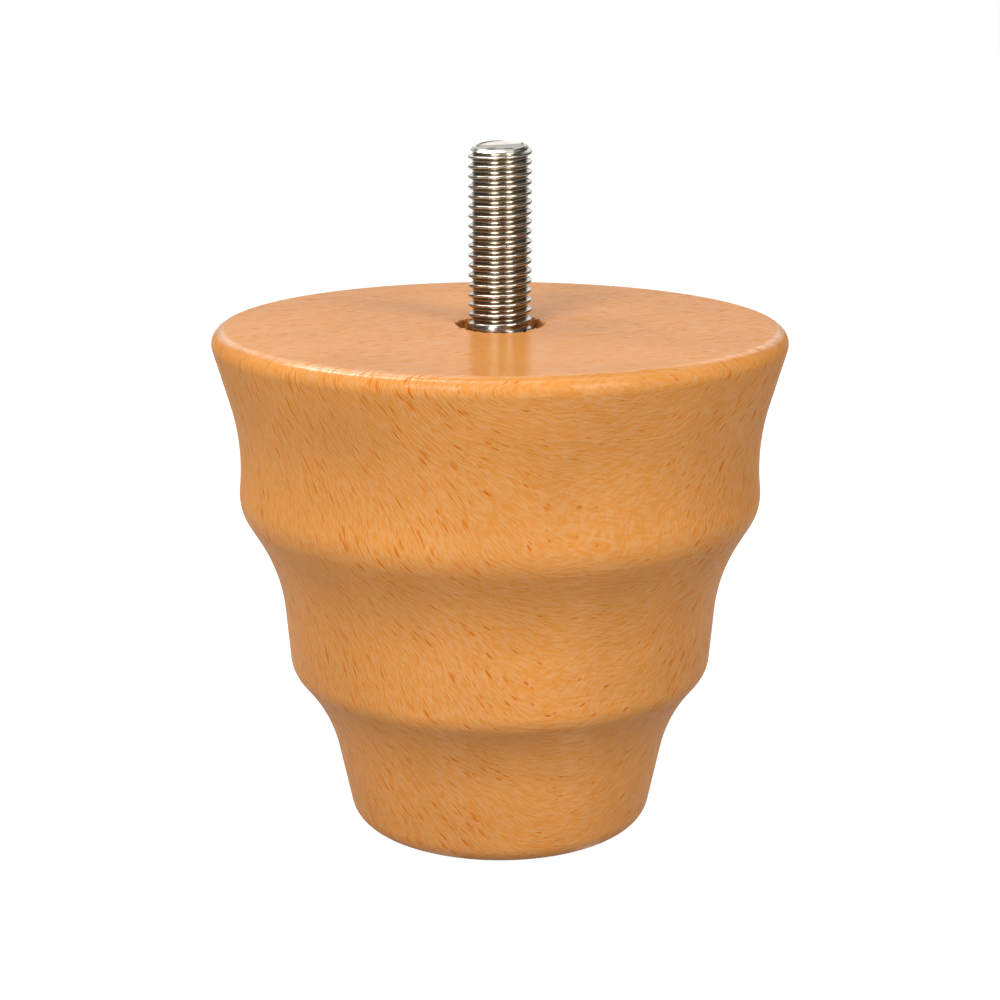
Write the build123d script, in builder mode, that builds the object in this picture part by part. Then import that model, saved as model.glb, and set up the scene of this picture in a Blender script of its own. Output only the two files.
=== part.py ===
"""A turned wooden furniture leg with a hanger bolt standing out of its top.

The leg stands on its foot: +Z is up and the origin is the middle of the foot's face.
"""

import os
from math import radians, tan

from build123d import *

# Outline of the turned leg: the radius at each corner of its half profile, before rounding
foot_radius = 23.25
foot_tier_top_radius = 27.2
middle_drum_foot_radius = 33.1
middle_drum_top_radius = 34.5
upper_drum_foot_radius = 40.8
upper_drum_top_radius = 39.8
top_radius = 45.0

# Height of each stretch of the outline, from the floor up
foot_tier_height = 18.6
lower_step_height = 7.3
middle_drum_height = 16.05
upper_step_height = 10.4
upper_drum_height = 9.85
flare_height = 17.8

# Roundings that the turner leaves at those corners
foot_rounding = 4.1
lower_cove_rounding = 26.7
middle_edge_rounding = 5.0
upper_cove_rounding = 28.8
upper_edge_rounding = 7.5
waist_cove_rounding = 35.5
top_rounding = 2.3

# Recess drilled round the bolt, and the pilot hole that the bolt's screw end is driven into
recess_mouth_radius = 7.0
recess_floor_radius = 6.25
recess_depth = 4.0
pilot_radius = 3.1
pilot_run_on = 4.0
drill_point_half_angle = 59.0

# Machine-thread end of the hanger bolt, at the size over its thread
stud_radius = 5.0
stud_reach = 27.7
stud_chamfer_width = 1.05
stud_chamfer_height = 1.1
end_dish_margin = 0.3
end_dish_depth = 0.35

# Wood-screw end of the hanger bolt
screw_length = 28.3
screw_core_radius = 3.5
screw_crest_radius = 4.85
screw_point_length = 6.0
screw_shoulder_height = 1.5
screw_pitch = 4.5
screw_lead_in = 4.0
screw_lead_out = 3.0
ridge_width = 1.9
ridge_sink = 0.3

# Heights worked out from the sizes above
lower_cove_z = foot_tier_height
middle_edge_z = lower_cove_z + lower_step_height
upper_cove_z = middle_edge_z + middle_drum_height
upper_edge_z = upper_cove_z + upper_step_height
waist_z = upper_edge_z + upper_drum_height
leg_height = waist_z + flare_height
recess_floor_z = leg_height - recess_depth
stud_end_z = leg_height + stud_reach
screw_point_z = recess_floor_z - screw_length
pilot_end_z = screw_point_z - pilot_run_on


def roundings_that_fit(corners, radii):
    """Return the radii, each made smaller only where the walls beside it are too short for it."""
    points = [Vector(*corner) for corner in corners]
    walls = [after - before for before, after in zip(points, points[1:])]
    reaches = [0.0]
    for radius, wall_in, wall_out in zip(radii, walls, walls[1:]):
        reaches.append(radius * tan(radians(wall_in.get_angle(wall_out)) / 2))
    reaches.append(0.0)
    shares = []
    for wall, reach_in, reach_out in zip(walls, reaches, reaches[1:]):
        shares.append(min(1.0, 0.99 * wall.length / (reach_in + reach_out)))
    return [radius * min(pair) for radius, pair in zip(radii, zip(shares, shares[1:]))]


os.makedirs("parts", exist_ok=True)

# Coarse ridge of the wood-screw end, a right-hand helix with its root sunk in the core. It rises
# over the lead-in above the point and fades out again below the shoulder, on the core all the way
ridge_foot_z = screw_point_z + screw_point_length
ridge_head_z = recess_floor_z - screw_shoulder_height
ridge_start_z = ridge_foot_z + ridge_width / 2
ridge_end_z = ridge_head_z - ridge_width / 2
ridge_root_radius = screw_core_radius - ridge_sink
with BuildPart() as wood_thread:
    with BuildLine() as ridge_line:
        Helix(screw_pitch, ridge_end_z - ridge_start_z, screw_core_radius, center=(0, 0, ridge_start_z))
    with BuildSketch(Plane.XZ):
        with BuildLine():
            Polyline(
                (ridge_root_radius, ridge_start_z - ridge_width / 2),
                (screw_crest_radius, ridge_start_z),
                (ridge_root_radius, ridge_start_z + ridge_width / 2),
                close=True,
            )
        make_face()
    sweep(path=ridge_line.line, is_frenet=True)
    with BuildSketch(Plane.XZ):
        with BuildLine():
            Polyline(
                (0, ridge_foot_z - ridge_width),
                (ridge_root_radius, ridge_foot_z - ridge_width),
                (ridge_root_radius, ridge_foot_z),
                (stud_radius, ridge_foot_z + screw_lead_in),
                (stud_radius, ridge_head_z - screw_lead_out),
                (ridge_root_radius, ridge_head_z),
                (ridge_root_radius, ridge_head_z + ridge_width),
                (0, ridge_head_z + ridge_width),
                close=True,
            )
        make_face()
    revolve(axis=Axis.Z, mode=Mode.INTERSECT)

# Hanger bolt: machine-thread end with a chamfered, dished tip, a plain shank that fills out below
# the thread, a shoulder on the recess floor, and the wood-screw end with its point
with BuildPart() as hanger_bolt:
    end_face_radius = stud_radius - stud_chamfer_width
    dish_radius = end_face_radius - end_dish_margin
    with BuildSketch(Plane.XZ):
        with BuildLine():
            Polyline(
                (0, stud_end_z - end_dish_depth),
                (0, screw_point_z),
                (screw_core_radius, ridge_foot_z),
                (screw_core_radius, ridge_head_z),
                (stud_radius, recess_floor_z),
                (stud_radius, stud_end_z - stud_chamfer_height),
                (end_face_radius, stud_end_z),
                (dish_radius, stud_end_z),
                close=True,
            )
        make_face()
    revolve(axis=Axis.Z)
    add(wood_thread.part)
hanger_bolt.part.label = "hanger_bolt"
export_step(hanger_bolt.part, "parts/hanger_bolt.step")

# Leg body: one turning of solid wood, then the recess and the pilot hole, then the thread that
# the bolt cuts for itself as it is driven in
with BuildPart() as leg_body:
    outline = [
        (0, 0),
        (foot_radius, 0),
        (foot_tier_top_radius, lower_cove_z),
        (middle_drum_foot_radius, middle_edge_z),
        (middle_drum_top_radius, upper_cove_z),
        (upper_drum_foot_radius, upper_edge_z),
        (upper_drum_top_radius, waist_z),
        (top_radius, leg_height),
        (0, leg_height),
    ]
    roundings = [
        foot_rounding,
        lower_cove_rounding,
        middle_edge_rounding,
        upper_cove_rounding,
        upper_edge_rounding,
        waist_cove_rounding,
        top_rounding,
    ]
    with BuildSketch(Plane.XZ):
        with BuildLine():
            turned_edge = FilletPolyline(*outline, radius=roundings_that_fit(outline, roundings))
            Line(turned_edge @ 1, turned_edge @ 0)
        make_face()
    revolve(axis=Axis.Z)
    with BuildSketch(Plane.XZ):
        with BuildLine():
            Polyline(
                (0, leg_height),
                (recess_mouth_radius, leg_height),
                (recess_floor_radius, recess_floor_z),
                (pilot_radius, recess_floor_z),
                (pilot_radius, pilot_end_z),
                (0, pilot_end_z - pilot_radius / tan(radians(drill_point_half_angle))),
                close=True,
            )
        make_face()
    revolve(axis=Axis.Z, mode=Mode.SUBTRACT)
    add(hanger_bolt.part, mode=Mode.SUBTRACT)
leg_body.part.label = "leg_body"
export_step(leg_body.part, "parts/leg_body.step")
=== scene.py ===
"""A turned beech furniture leg with a threaded steel hanger bolt standing out of its wide top.

The leg stands on its narrow foot in the middle of a pale studio floor. The two pieces and the
grain have their sizes in millimetres, as on a maker's drawing. The finishes and the studio have
theirs in metres, and so has every mesh, in the shared frame.
"""

import logging
from dataclasses import dataclass, field
from enum import Enum

import bpy
import numpy as np
from mathutils import Euler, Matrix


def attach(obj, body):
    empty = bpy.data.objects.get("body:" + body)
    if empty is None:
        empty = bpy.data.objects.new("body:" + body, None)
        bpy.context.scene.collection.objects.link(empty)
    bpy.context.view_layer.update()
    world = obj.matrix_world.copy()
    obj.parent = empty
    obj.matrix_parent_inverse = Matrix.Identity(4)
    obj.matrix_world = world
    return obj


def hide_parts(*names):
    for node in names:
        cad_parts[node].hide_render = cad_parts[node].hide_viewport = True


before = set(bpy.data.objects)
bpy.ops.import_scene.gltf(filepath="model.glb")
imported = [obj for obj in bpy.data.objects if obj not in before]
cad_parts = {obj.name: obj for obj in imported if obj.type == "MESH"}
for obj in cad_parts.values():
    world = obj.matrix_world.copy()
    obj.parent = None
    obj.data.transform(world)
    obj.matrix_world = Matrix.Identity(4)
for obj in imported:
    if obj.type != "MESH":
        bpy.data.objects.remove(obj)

LOG = logging.getLogger("furniture_leg")
MM = 0.001
FULL_TURN = 2.0 * np.pi
# Name of the point value: wear on the leg, grime and painted shade on the bolt.
WEAR_AND_SHADE = "wear_and_shade"

Feed = bpy.types.NodeSocket | float | tuple[float, ...]


class Slot(Enum):
    """The record's material slots."""

    LACQUERED_BEECH = "lacquered_beech"
    PLATED_STEEL = "plated_steel"


class Finish(Enum):
    """The finishes of the turned leg, in the order of its mesh's material slots."""

    LACQUER = 0
    BARE = 1


def periodic_noise(angle: np.ndarray, slowest: int, fastest: int, seed: int) -> np.ndarray:
    """Smooth random ripple round a ring, about 1 high, that joins itself after a full turn.

    It is the sum of cosines of whole numbers of waves round the ring, each with a random phase
    and a random height.

    Args:
        angle: Angles in radians.
        slowest: Fewest waves round the ring.
        fastest: Most waves round the ring.
        seed: Seed of the random draws.

    Returns:
        The ripple at each angle.
    """
    draws = np.random.default_rng(seed)
    waves = np.arange(slowest, fastest + 1)
    heights = draws.normal(size=waves.size) / np.sqrt(waves.size / 2.0)
    phases = draws.uniform(0.0, FULL_TURN, waves.size)
    return (heights * np.cos(angle[..., None] * waves + phases)).sum(axis=-1)


def smooth_step(value: np.ndarray) -> np.ndarray:
    """Rise from 0 to 1 as the value goes from 0 to 1, level at both ends: 3 v^2 - 2 v^3."""
    share = np.clip(value, 0.0, 1.0)
    return share * share * (3.0 - 2.0 * share)


def tent(value: np.ndarray, middle: float, half_width: float) -> np.ndarray:
    """Rise evenly from 0 to 1 at the middle and fall back to 0: 1 - |v - middle| / half width."""
    return np.clip(1.0 - np.abs(value - middle) / half_width, 0.0, 1.0)


def rounded_path(corners: np.ndarray, roundings: np.ndarray, turn_step: float) -> np.ndarray:
    """Points of a polyline whose inner corners are rounded by arcs.

    An arc of radius R at a corner where the path turns by an angle A touches both walls at
    R tan(A / 2) from the corner. Its centre lies on the wall's normal there, on the side that the
    path turns to, and its points divide the angle A evenly.

    Args:
        corners: The polyline's points, one (radius, height) pair a row.
        roundings: Radius of the arc at each inner corner, 0 to leave it sharp.
        turn_step: Largest angle between two points of an arc, in degrees.

    Returns:
        The points of the rounded path, one (radius, height) pair a row.
    """
    stretches = [corners[:1]]
    for before, corner, after, rounding in zip(corners, corners[1:], corners[2:], roundings):
        way_in = (corner - before) / np.linalg.norm(corner - before)
        way_out = (after - corner) / np.linalg.norm(after - corner)
        side = np.sign(way_in[0] * way_out[1] - way_in[1] * way_out[0])
        turn = np.arccos(np.clip(way_in @ way_out, -1.0, 1.0))
        if rounding == 0.0 or turn == 0.0:
            stretches.append(corner[None])
            continue
        normal = side * np.array([-way_in[1], way_in[0]])
        first = corner - way_in * rounding * np.tan(turn / 2.0)
        centre = first + normal * rounding
        count = int(np.ceil(np.degrees(turn) / turn_step)) + 1
        angle = np.linspace(0.0, turn, count)[:, None]
        stretches.append(centre + rounding * (way_in * np.sin(angle) - normal * np.cos(angle)))
    stretches.append(corners[-1:])
    return np.concatenate(stretches)


def subdivided(path: np.ndarray, longest: float) -> np.ndarray:
    """Points of a path with its long runs divided evenly.

    Args:
        path: The path's points, one a row.
        longest: Length that no run may exceed.

    Returns:
        The points, one a row.
    """
    runs = np.linalg.norm(np.diff(path, axis=0), axis=1)
    pieces = np.maximum(1, np.ceil(runs / longest).astype(int))
    place = np.concatenate([np.arange(count) / count for count in pieces])
    index = np.repeat(np.arange(len(pieces)), pieces)
    points = path[index] + (path[index + 1] - path[index]) * place[:, None]
    return np.concatenate([points, path[-1:]])


def ring_points(radius: np.ndarray, height: np.ndarray, columns: int) -> np.ndarray:
    """Points of rings round the Z axis: (r cos a, r sin a, z), columns of a evenly round a turn.

    Args:
        radius: Radius of each point, rows by columns, or rows by 1 for true circles.
        height: Height of each point, in the same form.
        columns: Number of points round a ring.

    Returns:
        The points in metres, rows by columns by 3.
    """
    angle = np.arange(columns) * FULL_TURN / columns
    radius, height = np.broadcast_arrays(radius, height)
    x, y, z = np.broadcast_arrays(radius * np.cos(angle), radius * np.sin(angle), height)
    return np.stack([x, y, z], axis=-1) * MM


def ring_quads(rows: int, columns: int, shift: int = 0) -> np.ndarray:
    """Corner indices of the quads between the rings of a grid that closes round the Z axis.

    The last column joins the first one, there `shift` rows further up, so that a grid whose rows
    are the turns of a helix closes too. Rings that go up, then inwards, face outwards, then up.

    Args:
        rows: Number of rows.
        columns: Number of points in a row.
        shift: Rows that a helix climbs in a turn, 0 for plain rings.

    Returns:
        The quads, one a row.
    """
    row, column = np.meshgrid(np.arange(rows - 1 - shift), np.arange(columns), indexing="ij")
    beside = (column + 1) % columns
    climbed = row + np.where(beside == 0, shift, 0)
    corners = [row * columns + column, climbed * columns + beside]
    corners += [(climbed + 1) * columns + beside, (row + 1) * columns + column]
    return np.stack(corners, axis=-1).reshape(-1, 4)


@dataclass
class Shell:
    """A mesh in the making: points, quads, and a finish and a wear-and-shade value that go with
    them.
    """

    points: list[np.ndarray] = field(default_factory=list)
    quads: list[np.ndarray] = field(default_factory=list)
    finishes: list[np.ndarray] = field(default_factory=list)
    wear_and_shade: list[np.ndarray] = field(default_factory=list)

    def add(
        self,
        points: np.ndarray,
        finish: Finish = Finish.LACQUER,
        shift: int = 0,
        wear_and_shade: np.ndarray | None = None,
    ) -> None:
        """Add a grid of rings.

        Args:
            points: Rows by columns by 3, in metres.
            finish: The finish of the grid's faces, the first one on a piece of a single finish.
            shift: Rows that a helix climbs in a turn, 0 for plain rings.
            wear_and_shade: Wear and painted shade of each point, rows by columns, 0 where it is left
                out.
        """
        start = sum(len(block) for block in self.points)
        quads = ring_quads(points.shape[0], points.shape[1], shift) + start
        self.points.append(points.reshape(-1, 3))
        self.quads.append(quads)
        self.finishes.append(np.full(len(quads), finish.value))
        self.wear_and_shade.append(np.zeros(points.shape[:2]).ravel() if wear_and_shade is None else wear_and_shade.ravel())

    def make(self, name: str, crease: float) -> bpy.types.Object:
        """Weld the grids into one mesh and make its object.

        Points that lie in the same place are merged, so a ring of no radius becomes a pole and
        helix rows that were flattened onto an end become one ring. Each quad is split into two
        triangles, and a triangle that has lost a corner is dropped.

        Args:
            name: The object's name.
            crease: Angle between two faces, in degrees, from which their edge is drawn sharp.

        Returns:
            The object, at the origin.
        """
        points = np.concatenate(self.points)
        wear_and_shade = np.concatenate(self.wear_and_shade)
        keys = np.round(points / 1e-7).astype(np.int64)
        _, kept, place = np.unique(keys, axis=0, return_index=True, return_inverse=True)
        quads = place.reshape(-1)[np.concatenate(self.quads)]
        triangles = np.concatenate([quads[:, [0, 1, 2]], quads[:, [0, 2, 3]]])
        finishes = np.tile(np.concatenate(self.finishes), 2)
        a, b, c = triangles.T
        whole = (a != b) & (b != c) & (c != a)
        mesh = bpy.data.meshes.new(name)
        mesh.from_pydata(points[kept], [], triangles[whole])
        mesh.polygons.foreach_set("material_index", finishes[whole].astype(np.int32))
        values = mesh.attributes.new(WEAR_AND_SHADE, "FLOAT", "POINT").data
        values.foreach_set("value", wear_and_shade[kept].astype(np.float32))
        mesh.shade_smooth()
        mesh.set_sharp_from_angle(angle=np.radians(crease))
        mesh.validate()
        piece = bpy.data.objects.new(name, mesh)
        bpy.context.scene.collection.objects.link(piece)
        return piece


class Graph:
    """A node tree with short calls that place nodes and join them."""

    def __init__(self, tree: bpy.types.NodeTree) -> None:
        """Keep the tree that the nodes go into."""
        self.tree = tree

    def feed(self, socket: bpy.types.NodeSocket, value: Feed) -> None:
        """Join a socket to another one, or write a plain value on it.

        Args:
            socket: The input.
            value: What goes into it.
        """
        if isinstance(value, bpy.types.NodeSocket):
            self.tree.links.new(value, socket)
        else:
            socket.default_value = value

    def node(
        self,
        kind: str,
        feeds: dict[str | int, Feed] | None = None,
        **settings: object,
    ) -> bpy.types.Node:
        """Place a node.

        Args:
            kind: The node's type.
            feeds: What goes into its inputs, by name or number.
            settings: Its properties, such as its operation.

        Returns:
            The node.
        """
        node = self.tree.nodes.new(kind)
        for name, value in settings.items():
            setattr(node, name, value)
        for key, value in (feeds or {}).items():
            self.feed(node.inputs[key], value)
        return node

    def surface(
        self,
        kind: str,
        feeds: dict[str | int, Feed],
        output: str = "ShaderNodeOutputMaterial",
    ) -> None:
        """Place the tree's last shader and join it to the output.

        Args:
            kind: The shader's type.
            feeds: What goes into its inputs, by name or number.
            output: The output node's type.
        """
        shader = self.node(kind, feeds)
        self.node(output, {"Surface": shader.outputs[0]})

    def math(self, operation: str, *values: Feed) -> bpy.types.NodeSocket:
        """Result of a Math node on one, two or three values."""
        return self.node("ShaderNodeMath", dict(enumerate(values)), operation=operation).outputs[0]

    def product(self, value: Feed, *factors: Feed) -> Feed:
        """A value times one or more factors.

        Args:
            value: The value.
            factors: The factors.

        Returns:
            The product.
        """
        for factor in factors:
            value = self.math("MULTIPLY", value, factor)
        return value

    def largest(self, value: Feed, *others: Feed) -> Feed:
        """The largest of two or more values.

        Args:
            value: The first one.
            others: The others.

        Returns:
            The largest.
        """
        for other in others:
            value = self.math("MAXIMUM", value, other)
        return value

    def vector(self, operation: str, *values: Feed) -> bpy.types.Node:
        """Place a Vector Math node on one or two vectors."""
        return self.node("ShaderNodeVectorMath", dict(enumerate(values)), operation=operation)

    def dot(self, vector: Feed, direction: tuple[float, float, float]) -> bpy.types.NodeSocket:
        """How far a vector reaches in a direction."""
        return self.vector("DOT_PRODUCT", vector, direction).outputs["Value"]

    def length(self, vector: Feed) -> bpy.types.NodeSocket:
        """Length of a vector."""
        return self.vector("LENGTH", vector).outputs["Value"]

    def unit(self, vector: Feed) -> bpy.types.NodeSocket:
        """A vector's direction, as a vector of length 1."""
        return self.vector("NORMALIZE", vector).outputs[0]

    def level(self, vector: Feed) -> bpy.types.NodeSocket:
        """The level part of a vector, without its height."""
        return self.vector("MULTIPLY", vector, (1.0, 1.0, 0.0)).outputs[0]

    def scaled(self, vector: Feed, factor: Feed) -> bpy.types.NodeSocket:
        """A vector, or a colour, times a factor."""
        feeds = {0: vector, 3: factor}
        return self.node("ShaderNodeVectorMath", feeds, operation="SCALE").outputs[0]

    def combine(self, x: Feed, y: Feed, z: Feed) -> bpy.types.NodeSocket:
        """A vector of three values."""
        return self.node("ShaderNodeCombineXYZ", {0: x, 1: y, 2: z}).outputs[0]

    def split(self, vector: Feed) -> list[bpy.types.NodeSocket]:
        """The three values of a vector."""
        return list(self.node("ShaderNodeSeparateXYZ", {0: vector}).outputs)

    def rise(self, value: Feed, low: Feed, high: Feed) -> bpy.types.NodeSocket:
        """Go smoothly from 0 to 1 as the value goes from low to high."""
        feeds = {0: value, 1: low, 2: high}
        return self.node("ShaderNodeMapRange", feeds, interpolation_type="SMOOTHSTEP").outputs[0]

    def ranged(self, value: Feed, low: float, high: float, first: float, last: float) -> Feed:
        """Go evenly from first to last as the value goes from low to high."""
        feeds = {0: value, 1: low, 2: high, 3: first, 4: last}
        return self.node("ShaderNodeMapRange", feeds).outputs[0]

    def noise(self, vector: Feed, rate: float, detail: float, roughness: float = 0.5) -> Feed:
        """Smooth noise, about 0.5, that varies at a rate to each unit of the vector."""
        feeds = {"Vector": vector, "Scale": rate, "Detail": detail, "Roughness": roughness}
        return self.node("ShaderNodeTexNoise", feeds).outputs[0]

    def mixed(self, share: Feed, first: Feed, second: Feed) -> bpy.types.NodeSocket:
        """Colour that goes from the first to the second with the share."""
        feeds = {0: share, 6: first, 7: second}
        return self.node("ShaderNodeMix", feeds, data_type="RGBA").outputs[2]

    def bump(self, height: Feed, strength: float, depth: float) -> bpy.types.NodeSocket:
        """Normal of a surface with a relief, its depth in metres."""
        feeds = {"Height": height, "Strength": strength, "Distance": depth}
        return self.node("ShaderNodeBump", feeds).outputs[0]

    def place(self) -> bpy.types.NodeSocket:
        """Object coordinates, in metres."""
        return self.node("ShaderNodeTexCoord").outputs["Object"]

    def wear_and_shade(self) -> bpy.types.NodeSocket:
        """The wear and painted shade value that the mesh holds at each point."""
        return self.node("ShaderNodeAttribute", attribute_name=WEAR_AND_SHADE).outputs["Fac"]


def socket_rows(tree: bpy.types.NodeTree, inputs: dict[str, str], outputs: dict[str, str]) -> None:
    """Give a node group its named inputs and outputs.

    Args:
        tree: The node group.
        inputs: Socket type of each input, by name.
        outputs: Socket type of each output, by name.
    """
    for name, kind in inputs.items():
        tree.interface.new_socket(name, in_out="INPUT", socket_type=kind)
    for name, kind in outputs.items():
        tree.interface.new_socket(name, in_out="OUTPUT", socket_type=kind)


@dataclass(frozen=True)
class BeechGrain:
    """How fibres and ray flecks lie in the wood that the leg was turned from.

    The rays lie in parallel sheets. A sheet's face looks a little right of the front and leans
    back, so it cuts the turned side in nested U curves and the top in level dashes. Flecks lie in
    loose rows, a bold set and a light one. Angles are degrees, lengths are millimetres and rates
    are per millimetre.
    """

    heading: float = 20.0
    lean: float = 17.0
    fleck_half_length: float = 0.95
    fleck_half_height: float = 1.45
    fleck_half_thickness: float = 0.145
    cell_share: float = 0.36
    facing_bounds: tuple[float, float] = (0.86, 0.98)
    facing_reach: float = 0.62
    sway_rate: float = 0.055
    sway_width: float = 1.6
    row_rate: tuple[float, float, float] = (0.04, 1.4, 0.04)
    row_bounds: tuple[float, float] = (0.48, 0.6)
    row_crowding: tuple[float, float] = (0.2, 2.6)
    light_size: float = 0.62
    light_offset: float = 7.3
    light_crowding: float = 1.8
    light_strength: float = 0.55
    fibre_rate: tuple[float, float, float] = (0.45, 5.4, 0.8)
    fibre_skew: float = 0.14
    fibre_offset: float = 40.0
    stroke_bounds: tuple[float, float] = (0.82, 1.18)
    stroke_relief: float = 0.5
    cloud_rate: float = 0.045
    cloud_bounds: tuple[float, float] = (0.3, 0.7)
    group_name: str = "beech_grain"

    def axes(self) -> dict[str, tuple[float, float, float]]:
        """Unit vectors along the fibres, across the sheets and up within a sheet.

        Returns:
            The vectors, by name.
        """
        turn, lean = np.radians(self.heading), np.radians(self.lean)
        along = (np.cos(turn), np.sin(turn), 0.0)
        across = (np.sin(turn) * np.cos(lean), -np.cos(turn) * np.cos(lean), np.sin(lean))
        up = (-np.sin(turn) * np.sin(lean), np.cos(turn) * np.sin(lean), np.cos(lean))
        return {"along": along, "across": across, "up": up}

    def reach(self, graph: Graph, place_mm: Feed) -> Feed:
        """How far a fleck reaches round its cell's point, less at the front, where sheets face out.

        Args:
            graph: The node tree.
            place_mm: Position in millimetres.

        Returns:
            The reach, in cells.
        """
        turn = np.radians(self.heading)
        facing = graph.dot(graph.unit(graph.level(place_mm)), (np.sin(turn), -np.cos(turn), 0.0))
        facing = graph.rise(facing, *self.facing_bounds)
        return graph.ranged(facing, 0.0, 1.0, self.cell_share, self.facing_reach * self.cell_share)

    def crowding(self, graph: Graph, place: dict[str, Feed]) -> Feed:
        """How flecks crowd into loose rows, from noise drawn out along the sheets.

        Args:
            graph: The node tree.
            place: Position along, across and up, in millimetres.

        Returns:
            The factor on the share of cells that hold a fleck.
        """
        rates = zip(("along", "across", "up"), self.row_rate)
        drawn_out = graph.combine(*[graph.product(place[name], rate) for name, rate in rates])
        rows = graph.rise(graph.noise(drawn_out, 1.0, 1.0), *self.row_bounds)
        return graph.ranged(rows, 0.0, 1.0, *self.row_crowding)

    def flecks(
        self,
        graph: Graph,
        place: dict[str, Feed],
        size: float,
        offset: float,
        share: Feed,
    ) -> Feed:
        """Mask of one set of ray flecks.

        Space is stretched so that a fleck, a flat lens, becomes a ball round the point of a
        Voronoi cell. Only a random share of the cells has one, and its strength is random too.

        Args:
            graph: The node tree.
            place: Position along, across and up, in millimetres, and the reach of a fleck.
            size: Size of the flecks beside the usual one.
            offset: Shift in cells, which makes the sets differ.
            share: Share of the cells that hold a fleck.

        Returns:
            The mask, 0 to 1.
        """
        cell = size / self.cell_share
        along = graph.math("DIVIDE", place["along"], self.fleck_half_length * cell)
        across = graph.math("DIVIDE", place["across"], self.fleck_half_thickness * cell)
        up = graph.math("DIVIDE", place["up"], self.fleck_half_height * cell)
        along, across = graph.math("ADD", along, offset), graph.math("ADD", across, offset)
        feeds = {"Vector": graph.combine(along, across, up), "Scale": 1.0}
        cells = graph.node("ShaderNodeTexVoronoi", feeds)
        reach = place["reach"]
        ball = graph.rise(cells.outputs["Distance"], reach, graph.product(reach, 0.5))
        draws = graph.node("ShaderNodeSeparateColor", {0: cells.outputs["Color"]})
        present = graph.math("LESS_THAN", draws.outputs[0], share)
        strength = graph.ranged(draws.outputs[1], 0.0, 1.0, 0.5, 1.0)
        return graph.product(ball, present, strength)

    def fibres(self, graph: Graph, place: dict[str, Feed], skew: float) -> Feed:
        """Noise drawn out along the sheets, and a little skew to them.

        Args:
            graph: The node tree.
            place: Position along, across and up, in millimetres.
            skew: Millimetres across the sheets that a fibre drifts in a millimetre along or up.

        Returns:
            The noise, about 0.5.
        """
        drift = graph.product(graph.math("ADD", place["along"], place["up"]), skew)
        across = graph.math("ADD", place["across"], drift)
        drawn_out = graph.combine(
            graph.product(place["along"], self.fibre_rate[0]),
            graph.product(across, self.fibre_rate[1]),
            graph.math("MULTIPLY_ADD", place["up"], self.fibre_rate[2], self.fibre_offset * skew),
        )
        return graph.noise(drawn_out, 1.0, 2.0, 0.55)

    def group(self) -> bpy.types.NodeTree:
        """The node group: flecks, fine fibre strokes, broad clouds of tone and a relief height.

        Returns:
            The group, built on the first call.
        """
        found = bpy.data.node_groups.get(self.group_name)
        if found:
            return found
        tree = bpy.data.node_groups.new(self.group_name, "ShaderNodeTree")
        outputs = {name: "NodeSocketFloat" for name in ("Fleck", "Stroke", "Cloud", "Relief")}
        socket_rows(tree, {"Vector": "NodeSocketVector", "Fleck Share": "NodeSocketFloat"}, outputs)
        graph = Graph(tree)
        given = graph.node("NodeGroupInput")
        place_mm = graph.scaled(given.outputs["Vector"], 1.0 / MM)
        place = {name: graph.dot(place_mm, axis) for name, axis in self.axes().items()}
        place["reach"] = self.reach(graph, place_mm)
        sway = graph.noise(place_mm, self.sway_rate, 1.0)
        sway = graph.ranged(sway, 0.0, 1.0, -self.sway_width, self.sway_width)
        place["across"] = graph.math("ADD", place["across"], sway)
        share = graph.product(given.outputs["Fleck Share"], self.crowding(graph, place))
        bold = self.flecks(graph, place, 1.0, 0.0, share)
        share = graph.product(share, self.light_crowding)
        light = self.flecks(graph, place, self.light_size, self.light_offset, share)
        fleck = graph.largest(bold, graph.product(light, self.light_strength))
        fibres = [self.fibres(graph, place, skew) for skew in (-self.fibre_skew, self.fibre_skew)]
        stroke = graph.ranged(graph.math("ADD", *fibres), *self.stroke_bounds, -1.0, 1.0)
        cloud = graph.noise(place_mm, self.cloud_rate, 2.0)
        cloud = graph.ranged(cloud, *self.cloud_bounds, -1.0, 1.0)
        relief = graph.math("SUBTRACT", graph.product(stroke, self.stroke_relief), fleck)
        graph.node("NodeGroupOutput", dict(zip(outputs, (fleck, stroke, cloud, relief))))
        return tree

    def figure(self, graph: Graph, place: Feed, share: float) -> bpy.types.Node:
        """Place the node group in a material.

        Args:
            graph: The material's node tree.
            place: Object coordinates, in metres.
            share: Share of the cells that hold a fleck.

        Returns:
            The group's node.
        """
        feeds = {"Vector": place, "Fleck Share": share}
        return graph.node("ShaderNodeGroup", feeds, node_tree=self.group())


def new_material(name: str) -> tuple[bpy.types.Material, Graph]:
    """An empty node material.

    Args:
        name: The material's name.

    Returns:
        The material and its graph.
    """
    material = bpy.data.materials.new(name)
    material.use_nodes = True
    material.node_tree.nodes.clear()
    return material, Graph(material.node_tree)


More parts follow.
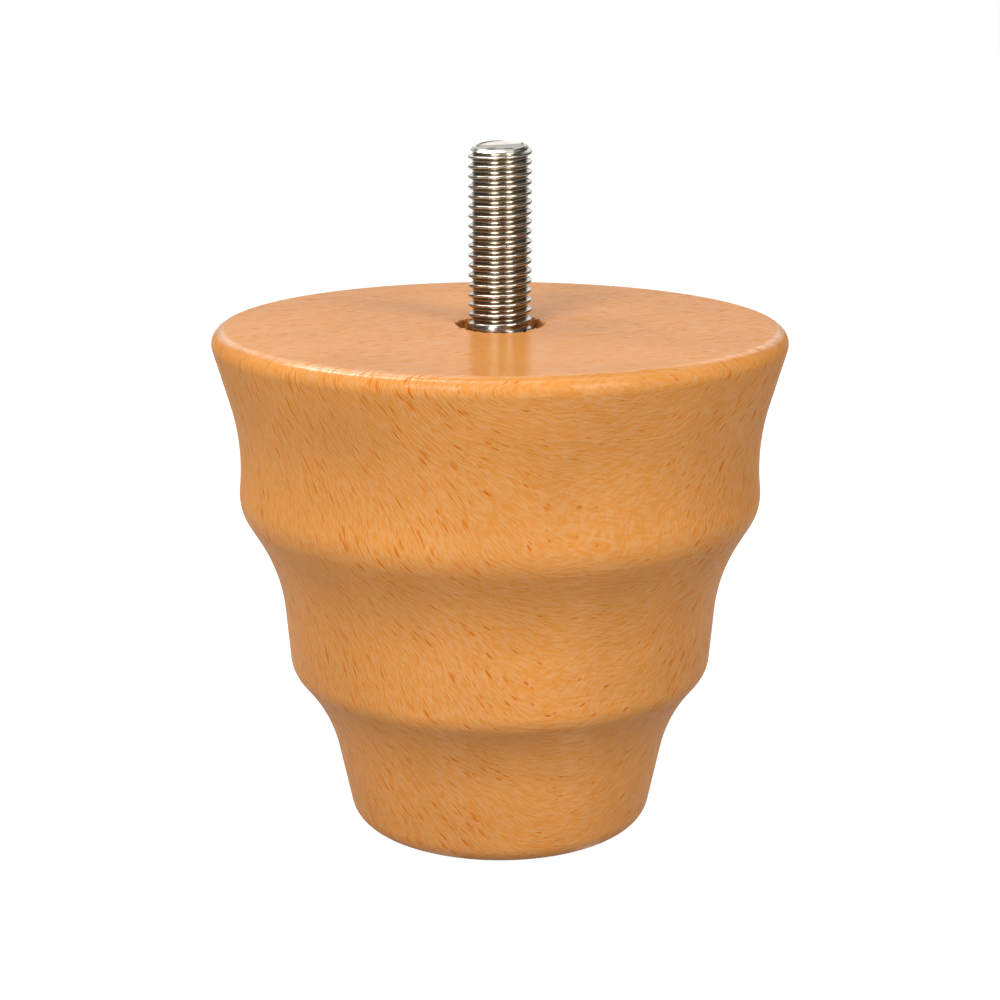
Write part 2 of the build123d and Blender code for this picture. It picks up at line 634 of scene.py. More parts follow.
@dataclass(frozen=True)
class LacqueredBeech:
    """Orange beech under a clear satin lacquer, heights and depths in metres."""

    wood: tuple[float, float, float, float] = (0.575, 0.222, 0.042, 1.0)
    pale: tuple[float, float, float, float] = (0.592, 0.272, 0.085, 1.0)
    fleck: tuple[float, float, float, float] = (0.50, 0.115, 0.002, 1.0)
    fleck_share: float = 0.42
    cloud_shade: tuple[float, float] = (0.93, 1.07)
    roughness: float = 0.5
    side_coat: float = 0.17
    rim_coat: float = 1.0
    top_coat: float = 0.44
    rim_heights: tuple[float, float] = (0.0792, 0.0795)
    top_heights: tuple[float, float] = (0.0799, 0.07999)
    coat_roughness: float = 0.2
    coat_on_strokes: float = 0.4
    coat_on_flecks: float = -0.7
    relief_strength: float = 0.6
    relief_depth: float = 0.00004

    def material(self, grain: BeechGrain) -> bpy.types.Material:
        """The material, with its colour, sheen and relief all following the grain.

        The coat is thin on the side, full on the rim's rounding and moderate on the flat top. A
        fibre stroke thickens it and a fleck thins it.

        Args:
            grain: How the wood's figure lies.

        Returns:
            The material.
        """
        material, graph = new_material("beech_under_lacquer")
        place = graph.place()
        figure = grain.figure(graph, place, self.fleck_share).outputs
        tone = graph.ranged(figure["Stroke"], -1.0, 1.0, 0.0, 1.0)
        shade = graph.ranged(figure["Cloud"], -1.0, 1.0, *self.cloud_shade)
        colour = graph.scaled(graph.mixed(tone, self.wood, self.pale), shade)
        _, _, height = graph.split(place)
        on_rim = graph.rise(height, *self.rim_heights)
        on_top = graph.rise(height, *self.top_heights)
        coat = graph.math("MULTIPLY_ADD", on_rim, self.rim_coat - self.side_coat, self.side_coat)
        coat = graph.math("MULTIPLY_ADD", on_top, self.top_coat - self.rim_coat, coat)
        cover = graph.math("MULTIPLY_ADD", figure["Stroke"], self.coat_on_strokes, 1.0)
        cover = graph.math("MULTIPLY_ADD", figure["Fleck"], self.coat_on_flecks, cover)
        graph.surface("ShaderNodeBsdfPrincipled", {
            "Base Color": graph.mixed(figure["Fleck"], colour, self.fleck),
            "Roughness": self.roughness,
            "IOR": 1.5,
            "Specular IOR Level": 0.0,
            "Coat Weight": graph.product(coat, cover),
            "Coat Roughness": self.coat_roughness,
            "Coat IOR": 1.5,
            "Normal": graph.bump(figure["Relief"], self.relief_strength, self.relief_depth),
        })
        return material


@dataclass(frozen=True)
class BareBeech:
    """The drilled wood of the recess and the pilot hole: no lacquer, and torn fibres.

    Rates are per metre and depths are metres.
    """

    wood: tuple[float, float, float, float] = (0.66, 0.23, 0.04, 1.0)
    torn: tuple[float, float, float, float] = (0.86, 0.66, 0.42, 1.0)
    fuzz_rate: float = 1400.0
    fuzz_tones: tuple[float, float] = (0.7, 1.3)
    fuzz_strength: float = 0.9
    fuzz_depth: float = 0.00015
    roughness: float = 0.85

    def material(self) -> bpy.types.Material:
        """The material, paler where the wear-and-shade value, on the leg only wear, says that fibres
        are torn up.

        Returns:
            The material.
        """
        material, graph = new_material("beech_bare_cut")
        fuzz = graph.noise(graph.place(), self.fuzz_rate, 3.0, 0.7)
        tone = graph.ranged(fuzz, 0.3, 0.7, *self.fuzz_tones)
        graph.surface("ShaderNodeBsdfPrincipled", {
            "Base Color": graph.mixed(graph.wear_and_shade(), graph.scaled(self.wood[:3], tone), self.torn),
            "Roughness": self.roughness,
            "Normal": graph.bump(fuzz, self.fuzz_strength, self.fuzz_depth),
        })
        return material


@dataclass(frozen=True)
class PlatedSteel:
    """Bright plated steel with the fine lines that thread rolling leaves round it.

    Lengths are metres and rates are per metre.
    """

    steel: tuple[float, float, float, float] = (0.58, 0.545, 0.48, 1.0)
    # stained_and_shaded is the colour of stain patches, and of stain with painted shade in the
    # roots.
    stained_and_shaded: tuple[float, float, float, float] = (0.25, 0.20, 0.125, 1.0)
    # grime_and_shade is the dark colour of grime and of painted shade.
    grime_and_shade: tuple[float, float, float, float] = (0.05, 0.035, 0.022, 1.0)
    root_radius: float = 0.0043
    crest_radius: float = 0.00485
    thread_heights: tuple[float, float] = (0.1066, 0.1060)
    root_stain_and_shade: float = 0.7
    blotch_rate: float = 420.0
    patch_bounds: tuple[float, float] = (0.45, 0.75)
    patch_stain: float = 0.4
    # Painted shade below the recess mouth: the heights where it fades in, and how far noise wavers
    # its edge.
    recess_shade_heights: tuple[float, float] = (0.0799, 0.0796)
    recess_shade_waver: float = 0.0006
    roughness: tuple[float, float] = (0.14, 0.26)
    line_rate: float = 9000.0
    line_strength: float = 0.5
    line_depth: float = 0.00003

    def material(self) -> bpy.types.Material:
        """The material, with its lines in bands round the bolt's axis.

        Stain lies in patches, and darkens the roots of the thread as stain and painted shade in the
        grooves. Grime and painted shade follow the wear-and-shade value, and painted shade covers
        what stands below the mouth of the recess.

        Returns:
            The material.
        """
        material, graph = new_material("steel_plated_bright")
        place = graph.place()
        _, _, height = graph.split(place)
        radius = graph.length(graph.level(place))
        lines = graph.noise(graph.combine(radius, 0.0, height), self.line_rate, 2.0, 0.6)
        blotch = graph.noise(place, self.blotch_rate, 3.0, 0.6)
        # The grooves darken from crest to root: partly stain, partly painted shade.
        in_root = graph.rise(radius, self.crest_radius, self.root_radius)
        on_thread = graph.rise(height, *self.thread_heights)
        patches = graph.product(graph.rise(blotch, *self.patch_bounds), self.patch_stain)
        stain_and_shade = graph.largest(patches, graph.product(in_root, on_thread, self.root_stain_and_shade))
        # Painted shade: below the mouth of the recess the bolt turns dark, as if the leg shaded it.
        wavering = graph.math("MULTIPLY_ADD", blotch, self.recess_shade_waver, height)
        dirt_and_shade = graph.largest(graph.wear_and_shade(), graph.rise(wavering, *self.recess_shade_heights))
        colour = graph.mixed(stain_and_shade, self.steel, self.stained_and_shaded)
        graph.surface("ShaderNodeBsdfPrincipled", {
            "Base Color": graph.mixed(dirt_and_shade, colour, self.grime_and_shade),
            "Metallic": 1.0,
            "Roughness": graph.ranged(blotch, 0.3, 0.7, *self.roughness),
            "Normal": graph.bump(lines, self.line_strength, self.line_depth),
        })
        return material


@dataclass
class HangerBolt:
    """One steel rod: machine thread above, a plain shank, and a wood-screw end in the leg."""

    end_height: float = 107.7
    end_slope: tuple[float, float] = (0.038, 0.109)
    slope_reach: float = 2.0
    radius: float = 5.0
    crest_radius: float = 4.9
    root_radius: float = 4.2
    root_rounding: float = 0.34
    crest_rounding: float = 0.26
    pitch: float = 1.5
    flank_angle: float = 60.0
    groove_height: float = 93.5
    groove_first_turn: float = -9.32
    run_out_turns: float = 0.4
    shank_taper: float = 0.28
    taper_height: float = 79.4
    taper_reach: float = 1.6
    notch_phase: float = 0.385
    notch_depth: float = 0.07
    dent_depth: float = 0.03
    # Phase of the grime and painted shade on the down-facing flank under each crest.
    dirt_and_shade_phase: float = 0.36
    chamfer_width: float = 1.05
    chamfer_height: float = 1.1
    dish_radius: float = 3.65
    dish_depth: float = 0.35
    furrow_depth: float = 0.1
    end_cone_height: float = 0.12
    swell_height: float = 0.02
    shank_height: float = 78.0
    shoulder_height: float = 76.0
    neck_height: float = 74.5
    core_radius: float = 3.5
    ridge_crest_radius: float = 4.85
    ridge_root_radius: float = 3.2
    ridge_half_width: float = 0.95
    ridge_pitch: float = 4.5
    ridge_start_height: float = 54.65
    ridge_rise: float = 4.0
    ridge_fall: float = 3.0
    point_height: float = 47.7
    point_base_height: float = 53.7
    columns: int = 160

    def thread_radius(self, phase: np.ndarray) -> np.ndarray:
        """Radius of the full machine thread at a phase of its pitch, whole numbers in the root.

        The root is an arc, the flanks rise from it at the flank angle, and an arc rounds the crest.

        Args:
            phase: Phases in turns.

        Returns:
            The radius at each phase.
        """
        slope = np.radians(self.flank_angle)
        beside = np.abs(phase - np.round(phase)) * self.pitch
        to_crest = self.pitch / 2.0 - beside
        root = self.root_rounding - np.sqrt(np.maximum(self.root_rounding**2 - beside**2, 0.0))
        crest = self.crest_rounding - np.sqrt(np.maximum(self.crest_rounding**2 - to_crest**2, 0.0))
        root_edge = self.root_rounding * np.sin(slope)
        crest_edge = self.crest_rounding * np.sin(slope)
        flank = self.root_rounding * (1.0 - np.cos(slope)) + (beside - root_edge) * np.tan(slope)
        radius = self.root_radius + np.where(beside < root_edge, root, flank)
        return np.where(to_crest < crest_edge, self.crest_radius - crest, radius)

    def thread_block(self) -> tuple[np.ndarray, int, np.ndarray]:
        """Points of the machine thread, from the shank to the end face.

        A row keeps one phase of the thread and climbs a pitch in a turn, so crests and roots lie
        along rows. Rows beyond either end are flattened onto it. The groove fades out over the
        last part of a turn above the shank, and a cone trims the crests at the end.

        Returns:
            The points in metres, the rows in a turn, and the grime and painted shade under the
            crests.
        """
        arc_share = np.sin(np.radians(self.flank_angle)) / self.pitch
        root_edge, crest_edge = self.root_rounding * arc_share, 0.5 - self.crest_rounding * arc_share
        root, flank = [0.0, 0.05, 0.1, 0.15, root_edge], [0.25, 0.3, crest_edge]
        stations = np.array([*root, *flank, self.notch_phase, 0.42, 0.46])
        phases = np.concatenate([stations, [0.5], 1.0 - stations[:0:-1]])
        first = int(np.floor((self.shank_height - self.groove_height) / self.pitch)) - 2
        last = int(np.ceil((self.cut_height - self.groove_height) / self.pitch)) + 2
        turns = (np.arange(first, last)[:, None] + phases).reshape(-1, 1)
        share = np.arange(self.columns) / self.columns
        height = self.groove_height + self.pitch * (turns + share)
        height = np.clip(height, self.shank_height, self.cut_height)
        travelled = np.floor(turns + 0.5) + share
        depth = smooth_step((travelled - self.groove_first_turn) / self.run_out_turns)
        tapered = smooth_step((height - self.taper_height) / self.taper_reach)
        plain = self.radius - self.shank_taper * tapered
        radius = plain - (plain - self.thread_radius(turns)) * depth
        beside = turns - np.floor(turns)
        notches = np.clip(periodic_noise(travelled * FULL_TURN, 25, 79, 5) - 0.4, 0.0, 1.6)
        dents = np.clip(periodic_noise(travelled * FULL_TURN, 9, 70, 6) - 1.2, 0.0, 1.0)
        notched = self.notch_depth * tent(beside, self.notch_phase, 0.06) * notches
        dented = self.dent_depth * tent(beside, 0.5, 0.12) * dents
        radius = radius - (notched + dented) * depth
        below_end = self.cut_height - height
        slope = self.chamfer_width / self.chamfer_height
        cone = self.radius - self.chamfer_width + below_end * slope
        points = ring_points(np.minimum(radius, cone), height, self.columns)
        # Grime and painted shade: the flank under each crest is darkened, more at the notches.
        dirt_and_shade = tent(beside, self.dirt_and_shade_phase, 0.08) * (0.5 + 0.4 * notches) * depth
        return self.skewed(points), len(phases), np.clip(dirt_and_shade, 0.0, 1.0)

    @property
    def cut_height(self) -> float:
        """Height of the cut end on the axis: its slope makes one side of its rim higher."""
        rim = self.radius - self.chamfer_width
        return self.end_height - rim * float(np.hypot(*self.end_slope))

    def skewed(self, points: np.ndarray) -> np.ndarray:
        """Slant the end as a shear leaves it.

        A point is raised by its place along the slope. The share of that grows smoothly from 0,
        a reach below the cut, to 1 at the cut.

        Args:
            points: Points in metres, of an end that is cut square.

        Returns:
            The points of the slanting end.
        """
        start = self.cut_height - self.slope_reach
        share = smooth_step((points[..., 2] / MM - start) / self.slope_reach)
        rise = points[..., 0] * self.end_slope[0] + points[..., 1] * self.end_slope[1]
        return np.stack([points[..., 0], points[..., 1], points[..., 2] + share * rise], axis=-1)

    def core(self, height: np.ndarray) -> np.ndarray:
        """Radius of the screw end without its ridge: the point's cone, the core, the shoulder."""
        heights = [self.point_height, self.point_base_height, self.neck_height, self.shoulder_height]
        return np.interp(height, heights, [0.0, self.core_radius, self.core_radius, self.radius])

    def screw_radius(self, share: np.ndarray, height: np.ndarray) -> np.ndarray:
        """Radius of the wood-screw end with its ridge.

        The ridge is a triangle in section: its height falls evenly with the distance from the
        helix that its crest follows. A cone at either end makes it rise and fade out.

        Args:
            share: Place round the axis, as a share of a turn.
            height: Height of each point.

        Returns:
            The radius at each point.
        """
        turns = (height - self.ridge_start_height) / self.ridge_pitch - share
        beside = np.abs(turns - np.round(turns)) * self.ridge_pitch
        steep = (self.ridge_crest_radius - self.ridge_root_radius) / self.ridge_half_width
        ridge = self.ridge_crest_radius - beside * steep
        heights = [
            self.point_base_height,
            self.point_base_height + self.ridge_rise,
            self.neck_height - self.ridge_fall,
            self.neck_height,
        ]
        radii = [self.ridge_root_radius, self.radius, self.radius, self.ridge_root_radius]
        return np.maximum(self.core(height), np.minimum(ridge, np.interp(height, heights, radii)))

    def screw_block(self) -> tuple[np.ndarray, int]:
        """Points of the wood-screw end between its point and its neck, rows along the ridge.

        The rows crowd at the ridge and reach twice its half width to either side of its crest.

        Returns:
            The points in metres, and the rows in a turn.
        """
        reach = 2.0 * self.ridge_half_width / self.ridge_pitch
        stations = reach * np.array([0.0, 0.35, 0.7, 1.0, 1.6, 2.3]) / 2.3
        phases = np.concatenate([stations, 1.0 - stations[:0:-1]])
        count = int(np.ceil((self.neck_height - self.point_base_height) / self.ridge_pitch))
        turns = (np.arange(-2, count + 2)[:, None] + phases).reshape(-1, 1)
        share = np.arange(self.columns) / self.columns
        height = self.ridge_start_height + self.ridge_pitch * (turns + share)
        height = np.clip(height, self.point_base_height, self.neck_height)
        return ring_points(self.screw_radius(share, height), height, self.columns), len(phases)

    def end_face(self) -> tuple[np.ndarray, np.ndarray]:
        """Points of the end face, from its edge to the centre.

        A narrow rim runs round a dish with a sloping wall and a flat floor. A small cone stands
        in the middle of the floor, and the shear has torn a short furrow on either side of it.
        The dish is shallower towards the back.

        Returns:
            The points in metres, and how dark the cut face's grey and painted shade make the metal
            at each.
        """
        rim = self.radius - self.chamfer_width
        wall = [rim, rim - 0.06, rim - 0.14, 3.76, 3.7, 3.64, 3.58, 3.52, 3.44, 3.3, 3.1]
        radius = np.concatenate([wall, np.linspace(2.9, 0.1, 29), [0.0]])[:, None]
        angle = np.arange(self.columns) * FULL_TURN / self.columns
        x, y = radius * np.cos(angle), radius * np.sin(angle)
        shallow = 1.0 - 0.7 * smooth_step((y + 1.5) / 5.0)
        depth = self.dish_depth * smooth_step((self.dish_radius + 0.12 - radius) / 0.34) * shallow
        furrow = np.exp(-(((y + 1.1) / 0.3) ** 2)) * np.exp(-(((np.abs(x) - 1.3) / 0.75) ** 4))
        cone = tent(np.hypot(x, y + 0.5), 0.0, 0.6)
        swell = self.swell_height * np.sin(1.3 * x + 0.6) * np.cos(1.1 * y)
        relief = self.furrow_depth * furrow - self.end_cone_height * cone + swell
        height = self.cut_height - depth - smooth_step((3.1 - radius) / 0.6) * relief
        # Painted shade with the sheared face's own grey: the dish floor and furrows are darkened,
        # and the back of the dish and the centre cone are left lighter.
        crescent = smooth_step((y - 0.9 - 0.1 * np.abs(x)) / 0.7)
        grey = 0.74 * smooth_step((3.75 - radius) / 0.2) * (1.0 - crescent)
        smudge_and_shade = np.clip(grey + 0.6 * furrow - 0.6 * cone, 0.0, 1.0)
        return self.skewed(ring_points(radius, height, self.columns)), smudge_and_shade

    def build(self, finish: PlatedSteel) -> bpy.types.Object:
        """Make the bolt from its point up, in place of the plain solid.

        Args:
            finish: The steel.

        Returns:
            The bolt's object.
        """
        shell = Shell()
        point = np.linspace(self.point_height, self.point_base_height, 7)[:, None]
        shell.add(ring_points(self.core(point), point, self.columns))
        screw, screw_rows = self.screw_block()
        shell.add(screw, shift=screw_rows)
        neck = np.array([self.neck_height, self.shoulder_height, 77.0, self.shank_height])[:, None]
        shell.add(ring_points(self.core(neck), neck, self.columns))
        thread, thread_rows, dirt_and_shade = self.thread_block()
        shell.add(thread, shift=thread_rows, wear_and_shade=dirt_and_shade)
        end, smudge_and_shade = self.end_face()
        shell.add(end, wear_and_shade=smudge_and_shade)
        piece = shell.make("hanger_bolt_threaded", 40.0)
        piece.data.materials.append(finish.material())
        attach(piece, "root")
        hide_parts("hanger_bolt")
        return piece


@dataclass
class TurnedLeg:
    """The wooden body: one turning, with a recess and a pilot hole for the bolt in its top."""

    foot_radius: float = 23.25
    foot_tier_top_radius: float = 27.2
    middle_drum_foot_radius: float = 33.1
    middle_drum_top_radius: float = 34.5
    upper_drum_foot_radius: float = 40.8
    upper_drum_top_radius: float = 39.8
    top_radius: float = 45.0
    foot_tier_height: float = 18.6
    lower_step_height: float = 7.3
    middle_drum_height: float = 16.05
    upper_step_height: float = 10.4
    upper_drum_height: float = 9.85
    flare_height: float = 17.8
    foot_rounding: float = 4.1
    lower_cove_rounding: float = 26.7
    middle_edge_rounding: float = 5.0
    upper_cove_rounding: float = 28.8
    upper_edge_rounding: float = 7.5
    waist_cove_rounding: float = 35.5
    top_rounding: float = 2.3
    recess_mouth_radius: float = 7.0
    recess_floor_radius: float = 6.25
    recess_depth: float = 4.0
    rim_band: float = 1.9
    front_chip: tuple[float, float] = (1.1, 0.3)
    front_chip_spread: float = 0.75
    mouth_wander: float = 0.12
    bite_depth: float = 0.35
    splinter_share: float = 0.3
    splinter_lengths: tuple[float, float] = (0.05, 0.45)
    edge_lift: float = 0.05
    raised_share: float = 0.35
    raised_heights: tuple[float, float] = (0.1, 0.4)
    wall_roughness: float = 0.06
    pilot_radius: float = 3.1
    pilot_end_height: float = 43.7
    drill_point_height: float = 1.86
    columns: int = 360

    @property
    def height(self) -> float:
        """Height of the top face."""
        drums = self.foot_tier_height + self.middle_drum_height + self.upper_drum_height
        return drums + self.lower_step_height + self.upper_step_height + self.flare_height

    def outline(self) -> np.ndarray:
        """The turned side and both faces, from the middle of the foot to the edge of the rim band.

        Returns:
            The points, one (radius, height) pair a row.
        """
        steps = [
            self.foot_tier_height,
            self.lower_step_height,
            self.middle_drum_height,
            self.upper_step_height,
            self.upper_drum_height,
            self.flare_height,
        ]
        heights = np.concatenate([[0.0, 0.0], np.cumsum(steps), [self.height]])
        radii = [
            0.0,
            self.foot_radius,
            self.foot_tier_top_radius,
            self.middle_drum_foot_radius,
            self.middle_drum_top_radius,
            self.upper_drum_foot_radius,
            self.upper_drum_top_radius,
            self.top_radius,
            self.recess_mouth_radius + self.rim_band,
        ]
        roundings = np.array([
            self.foot_rounding,
            self.lower_cove_rounding,
            self.middle_edge_rounding,
            self.upper_cove_rounding,
            self.upper_edge_rounding,
            self.waist_cove_rounding,
            self.top_rounding,
        ])
        path = rounded_path(np.stack([radii, heights], axis=1), roundings, 2.5)
        return subdivided(path, 3.0)

    def rim_block(self) -> tuple[np.ndarray, np.ndarray]:
        """Points of the chipped rim and the rough wall of the recess, and their wear.

        The mouth wanders in and out round the turn. Single points of the rim's edge are pulled
        inwards as splinters, and the wall below is roughened by ripples that change with depth.
        The front of the edge is chipped lower and wider, with raised splinters.

        Returns:
            The points in metres, and how torn the wood is at each.
        """
        angle = np.arange(self.columns) * FULL_TURN / self.columns
        wander = self.mouth_wander * periodic_noise(angle, 3, 30, 21)
        bites = self.bite_depth * np.clip(periodic_noise(angle, 9, 45, 22) - 0.9, 0.0, 1.2)
        draws = np.random.default_rng(23)
        torn = draws.uniform(size=self.columns) < self.splinter_share
        splinter = np.where(torn, draws.uniform(*self.splinter_lengths, self.columns), 0.0)
        lift = self.edge_lift * np.abs(periodic_noise(angle, 5, 60, 24))
        raised = draws.uniform(size=self.columns) < self.raised_share
        front = np.exp(-(((angle - 0.75 * FULL_TURN) / self.front_chip_spread) ** 2))
        mouth = self.recess_mouth_radius + wander + bites + self.front_chip[0] * front
        worn = self.front_chip[1] * front
        chip = np.where(raised, draws.uniform(*self.raised_heights, self.columns), 0.0) * front
        top = np.linspace(0.0, 1.0, 5)[:, None]
        band_radius = (self.recess_mouth_radius + self.rim_band) * (1.0 - top) + (mouth + 0.06) * top
        band_height = self.height + (0.5 * lift - worn) * smooth_step(top * 1.6 - 0.6)
        edge_radius = mouth - splinter
        edge_height = self.height + lift - worn - 0.4 * splinter + chip
        depth = np.array([0.12, 0.3, 0.6, 1.0, 1.5, 2.0, 2.6, 3.2, 3.7, 4.0])[:, None]
        slope = (self.recess_mouth_radius - self.recess_floor_radius) / self.recess_depth
        wall = self.recess_mouth_radius - depth * slope
        ease = tent(depth, 0.0, 1.5)
        rough = np.stack([periodic_noise(angle, 12, 70, 40 + row) for row in range(len(depth))])
        wall = wall + ease * (mouth - self.recess_mouth_radius) + self.wall_roughness * rough
        radius = np.concatenate([band_radius, edge_radius[None], wall])
        fall = self.height - np.maximum(depth, worn + 0.1 + 0.3 * depth)
        height = np.concatenate([band_height, edge_height[None], fall])
        wear_and_shade = np.zeros_like(radius)
        wear_and_shade[4:6] = np.clip(0.3 + splinter * 2.0 + chip * 2.5, 0.0, 1.0)
        wear_and_shade[4] *= 0.6
        wear_and_shade[6] = 0.1
        return ring_points(radius, height, self.columns), wear_and_shade

    def build(
        self,
        bolt: HangerBolt,
        lacquer: LacqueredBeech,
        bare: BareBeech,
        grain: BeechGrain,
    ) -> bpy.types.Object:
        """Make the leg in place of the plain solid.

        Args:
            bolt: The bolt, whose screw end shapes the wall of the pilot hole.
            lacquer: Finish of the turned outside.
            bare: Finish of the recess and the pilot hole.
            grain: How the wood's figure lies under the lacquer.

        Returns:
            The leg's object.
        """
        shell = Shell()
        outside = self.outline()
        shell.add(ring_points(outside[:, :1], outside[:, 1:], self.columns))
        rim, wear_and_shade = self.rim_block()
        shell.add(rim[:6], wear_and_shade=wear_and_shade[:6])
        shell.add(rim[5:], Finish.BARE, wear_and_shade=wear_and_shade[5:])
        share = np.arange(self.columns) / self.columns
        floor_height = self.height - self.recess_depth
        wall_height = np.linspace(floor_height, self.pilot_end_height, 64)[:, None]
        wall = np.maximum(self.pilot_radius, bolt.screw_radius(share, wall_height))
        pilot = ring_points(wall, wall_height, self.columns)
        drill_end_height = np.array([[self.pilot_end_height - self.drill_point_height]])
        drill_end = ring_points(np.array([[0.0]]), drill_end_height, self.columns)
        shell.add(np.concatenate([rim[-1:], pilot, drill_end]), Finish.BARE)
        piece = shell.make("leg_body_turned", 50.0)
        piece.data.materials.append(lacquer.material(grain))
        piece.data.materials.append(bare.material())
        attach(piece, "root")
        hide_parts("leg_body")
        return piece


@dataclass(frozen=True)
class SoftLight:
    """A flat studio soft box that looks at a point on the leg's axis, lengths in metres."""

    name: str
    azimuth: float
    elevation: float
    distance: float
    width: float
    height: float
    power: float

    def place(self, aim_height: float) -> None:
        """Hang the light. Azimuth 0 is on the camera's side and grows towards its right.

        Args:
            aim_height: Height of the point that the light looks at.
        """
        lamp = bpy.data.lights.new(self.name, "AREA")
        lamp.shape = "RECTANGLE"
        lamp.size, lamp.size_y, lamp.energy = self.width, self.height, self.power
        light = bpy.data.objects.new(self.name, lamp)
        side, up = np.radians(self.azimuth), np.radians(self.elevation)
        reach = self.distance * np.cos(up)
        height = aim_height + self.distance * np.sin(up)
        light.location = (reach * np.sin(side), -reach * np.cos(side), height)
        light.rotation_euler = Euler((np.pi / 2.0 - up, 0.0, side))
        bpy.context.scene.collection.objects.link(light)


@dataclass
class Studio:
    """Floor, lights, sky and camera round the leg, lengths in metres.

    What gloss sees is a room of its own: a dark front with upright strip lights, a lit back wall,
    a band of light overhead with a brighter line in it, and a soft glow behind on the left. Two
    numbers for an edge say how far along an axis a direction reaches where the light there fades
    in, first dark, then full.
    """

    floor_radius: float = 12.0
    floor_tone: tuple[float, float, float, float] = (0.3, 0.3, 0.3, 1.0)
    floor_glow: float = 0.92
    lit_reach: tuple[float, float] = (0.35, 0.12)
    aim_height: float = 0.05
    camera_place: tuple[float, float, float] = (0.0, -0.34333, 0.13897)
    camera_pitch: float = 75.773
    lens: float = 81.16
    dome_bounds: tuple[float, float] = (0.45, 0.6)
    dome_overhead: float = 0.05
    room_strength: float = 0.09
    dark_side: tuple[float, float] = (0.7, 0.97)
    wall_rise: tuple[float, float] = (0.08, 0.32)
    wall_strengths: tuple[float, float] = (0.5, 2.0)
    wall_top: tuple[float, float] = (0.6, 0.45)
    strip_azimuths: tuple[float, ...] = (-24.0, 38.0)
    strip_edge: tuple[float, float] = (0.982, 0.997)
    strip_top: tuple[float, float] = (0.75, 0.6)
    strip_strength: float = 2.3
    band_axis: tuple[float, float, float] = (0.0, 0.457, 0.889)
    band_outer_edge: tuple[float, float] = (0.62, 0.68)
    band_inner_edge: tuple[float, float] = (0.93, 0.86)
    band_side_edge: tuple[float, float] = (0.6, 0.35)
    band_strength: float = 1.8
    rim_line_outer_edge: tuple[float, float] = (0.775, 0.805)
    rim_line_inner_edge: tuple[float, float] = (0.89, 0.865)
    rim_line_right_edge: tuple[float, float] = (0.0, -0.25)
    rim_line_back_edge: tuple[float, float] = (0.62, 0.32)
    rim_line_strength: float = 10.0
    glow_axis: tuple[float, float, float] = (-0.2, 0.68, 0.7)
    glow_edge: tuple[float, float] = (0.93, 0.985)
    glow_strength: float = 1.8
    lights: tuple[SoftLight, ...] = (
        SoftLight("key_soft_box", -27.0, 34.0, 1.1, 0.45, 0.5, 9.4),
        SoftLight("right_soft_box", 42.0, 33.0, 1.1, 0.4, 0.5, 6.0),
        SoftLight("left_soft_box", -50.0, 64.0, 1.1, 0.9, 0.6, 0.8),
        SoftLight("overhead_soft_box", 0.0, 74.0, 1.1, 0.36, 0.36, 1.2),
        SoftLight("rim_strip", -122.0, 58.0, 1.1, 0.9, 0.5, 4.4),
    )

    def strips(self, graph: Graph, direction: Feed) -> Feed:
        """Brightness of the upright strip lights in the dark front of the room.

        Args:
            graph: The node tree.
            direction: Direction that gloss looks in.

        Returns:
            The brightness, 0 between the strips.
        """
        unit = graph.unit(graph.level(direction))
        lit: Feed = 0.0
        for azimuth in self.strip_azimuths:
            side = np.radians(azimuth)
            along = graph.dot(unit, (np.sin(side), -np.cos(side), 0.0))
            lit = graph.largest(lit, graph.rise(along, *self.strip_edge))
        return graph.product(lit, self.strip_strength)

    def overhead(self, graph: Graph, direction: Feed) -> Feed:
        """Brightness of the band of light overhead, of the line in it and of the glow behind.

        Args:
            graph: The node tree.
            direction: Direction that gloss looks in.

        Returns:
            The brightness, 0 outside them.
        """
        x, y, _ = graph.split(direction)
        over = graph.dot(direction, self.band_axis)
        band = graph.product(
            graph.rise(over, *self.band_outer_edge),
            graph.rise(over, *self.band_inner_edge),
            graph.rise(graph.math("ABSOLUTE", x), *self.band_side_edge),
            self.band_strength,
        )
        line = graph.product(
            graph.rise(over, *self.rim_line_outer_edge),
            graph.rise(over, *self.rim_line_inner_edge),
            graph.rise(x, *self.rim_line_right_edge),
            graph.rise(y, *self.rim_line_back_edge),
            self.rim_line_strength,
        )
        glow = graph.rise(graph.dot(direction, self.glow_axis), *self.glow_edge)
        return graph.largest(band, line, graph.product(glow, self.glow_strength))

    def floor(self) -> None:
        """A wide disc, white to the camera.

        Gloss sees it lit near the leg, behind the leg and below the strip lights alone.
        """
        columns, rings = 96, np.array([0.0, 0.1, 0.3, 1.0, 3.0, self.floor_radius])
        shell = Shell()
        shell.add(ring_points(rings[::-1, None] / MM, np.zeros((len(rings), 1)), columns))
        disc = shell.make("studio_floor", 180.0)
        material, graph = new_material("floor_white")
        matte = graph.node("ShaderNodeBsdfDiffuse", {"Color": self.floor_tone})
        path = graph.node("ShaderNodeLightPath").outputs
        place = graph.place()
        behind = graph.rise(graph.dot(graph.unit(place), (0.0, 1.0, 0.0)), *self.dark_side)
        near = graph.rise(graph.length(place), *self.lit_reach)
        lit = graph.largest(behind, near, self.strips(graph, place))
        gloss = graph.product(path["Is Glossy Ray"], lit)
        seen = graph.largest(path["Is Camera Ray"], gloss, path["Is Transmission Ray"])
        glow = graph.node("ShaderNodeEmission", {"Strength": graph.product(seen, self.floor_glow)})
        graph.surface("ShaderNodeAddShader", {0: matte.outputs[0], 1: glow.outputs[0]})
        disc.data.materials.append(material)

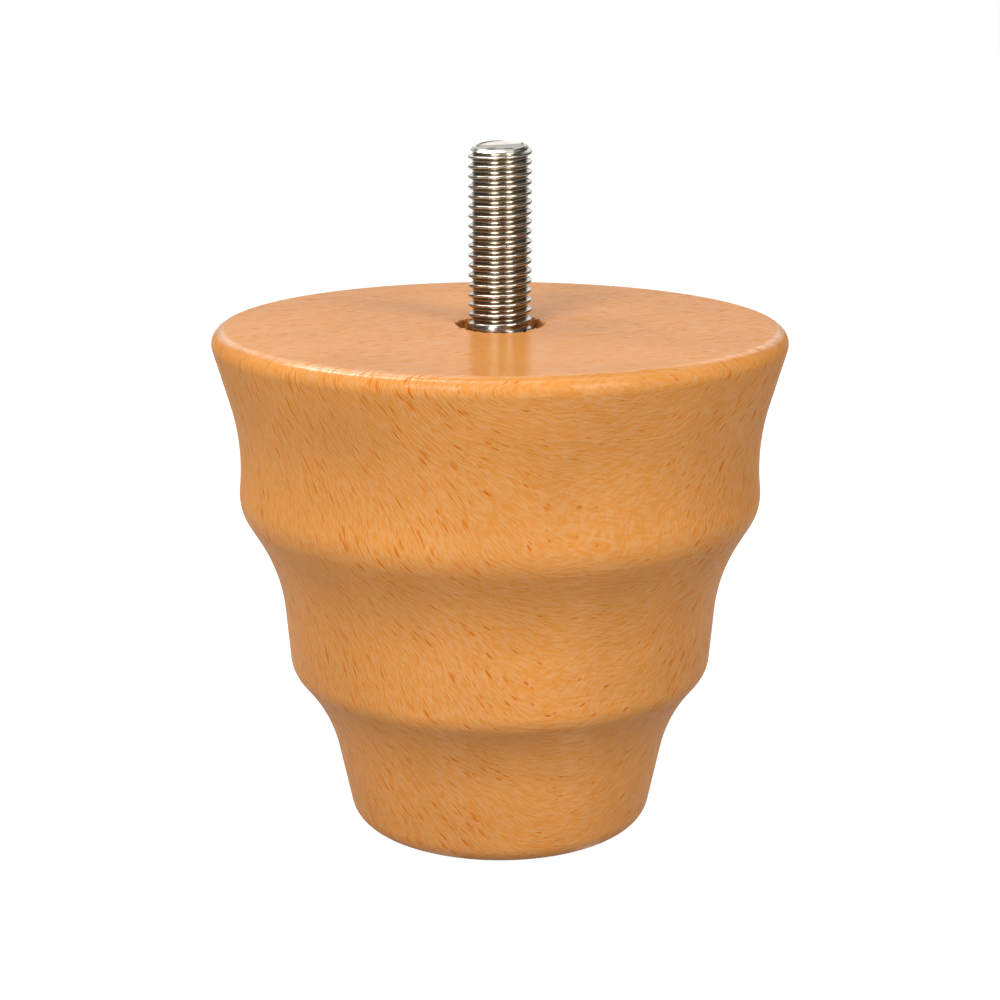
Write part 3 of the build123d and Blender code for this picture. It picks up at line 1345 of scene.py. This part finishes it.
    def sky(self) -> None:
        """The sky: white at the horizon and dim overhead, and the dark room for gloss alone."""
        world = bpy.data.worlds.new("studio_sky")
        bpy.context.scene.world = world
        world.use_nodes = True
        world.node_tree.nodes.clear()
        graph = Graph(world.node_tree)
        direction = graph.node("ShaderNodeTexCoord").outputs["Generated"]
        _, y, up = graph.split(direction)
        dome = graph.rise(up, *self.dome_bounds)
        dome = graph.ranged(dome, 0.0, 1.0, 1.0, self.dome_overhead)
        wall = graph.ranged(up, *self.wall_rise, *self.wall_strengths)
        wall = graph.product(wall, graph.rise(up, *self.wall_top), graph.rise(y, *self.dark_side))
        strips = graph.product(self.strips(graph, direction), graph.rise(up, *self.strip_top))
        room = graph.largest(wall, self.room_strength, strips, self.overhead(graph, direction))
        glossy = graph.node("ShaderNodeLightPath").outputs["Is Glossy Ray"]
        strength = graph.node("ShaderNodeMix", {0: glossy, 2: dome, 3: room}).outputs[0]
        graph.surface("ShaderNodeBackground", {"Strength": strength}, "ShaderNodeOutputWorld")

    def camera(self) -> None:
        """The camera, a little above the top face and looking down on it."""
        lens = bpy.data.cameras.new("product_camera")
        lens.lens, lens.sensor_width = self.lens, 36.0
        lens.clip_end = 2.0 * self.floor_radius
        camera = bpy.data.objects.new("product_camera", lens)
        camera.location = self.camera_place
        camera.rotation_euler = Euler((np.radians(self.camera_pitch), 0.0, 0.0))
        bpy.context.scene.collection.objects.link(camera)
        bpy.context.scene.camera = camera

    def build(self) -> None:
        """Set up everything round the leg."""
        self.floor()
        self.sky()
        self.camera()
        for light in self.lights:
            light.place(self.aim_height)


def main() -> None:
    """Build the studio, the bolt and the leg, and report each piece."""
    logging.basicConfig(level=logging.INFO, format="%(name)s %(message)s")
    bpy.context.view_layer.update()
    scene = bpy.context.scene
    scene.view_settings.view_transform = "Standard"
    Studio().build()
    bolt = HangerBolt()
    leg = TurnedLeg()
    pieces = [bolt.build(PlatedSteel())]
    pieces.append(leg.build(bolt, LacqueredBeech(), BareBeech(), BeechGrain()))
    for piece in pieces:
        LOG.info("%s: %d triangles", piece.name, len(piece.data.polygons))


if __name__ == "__main__":
    main()
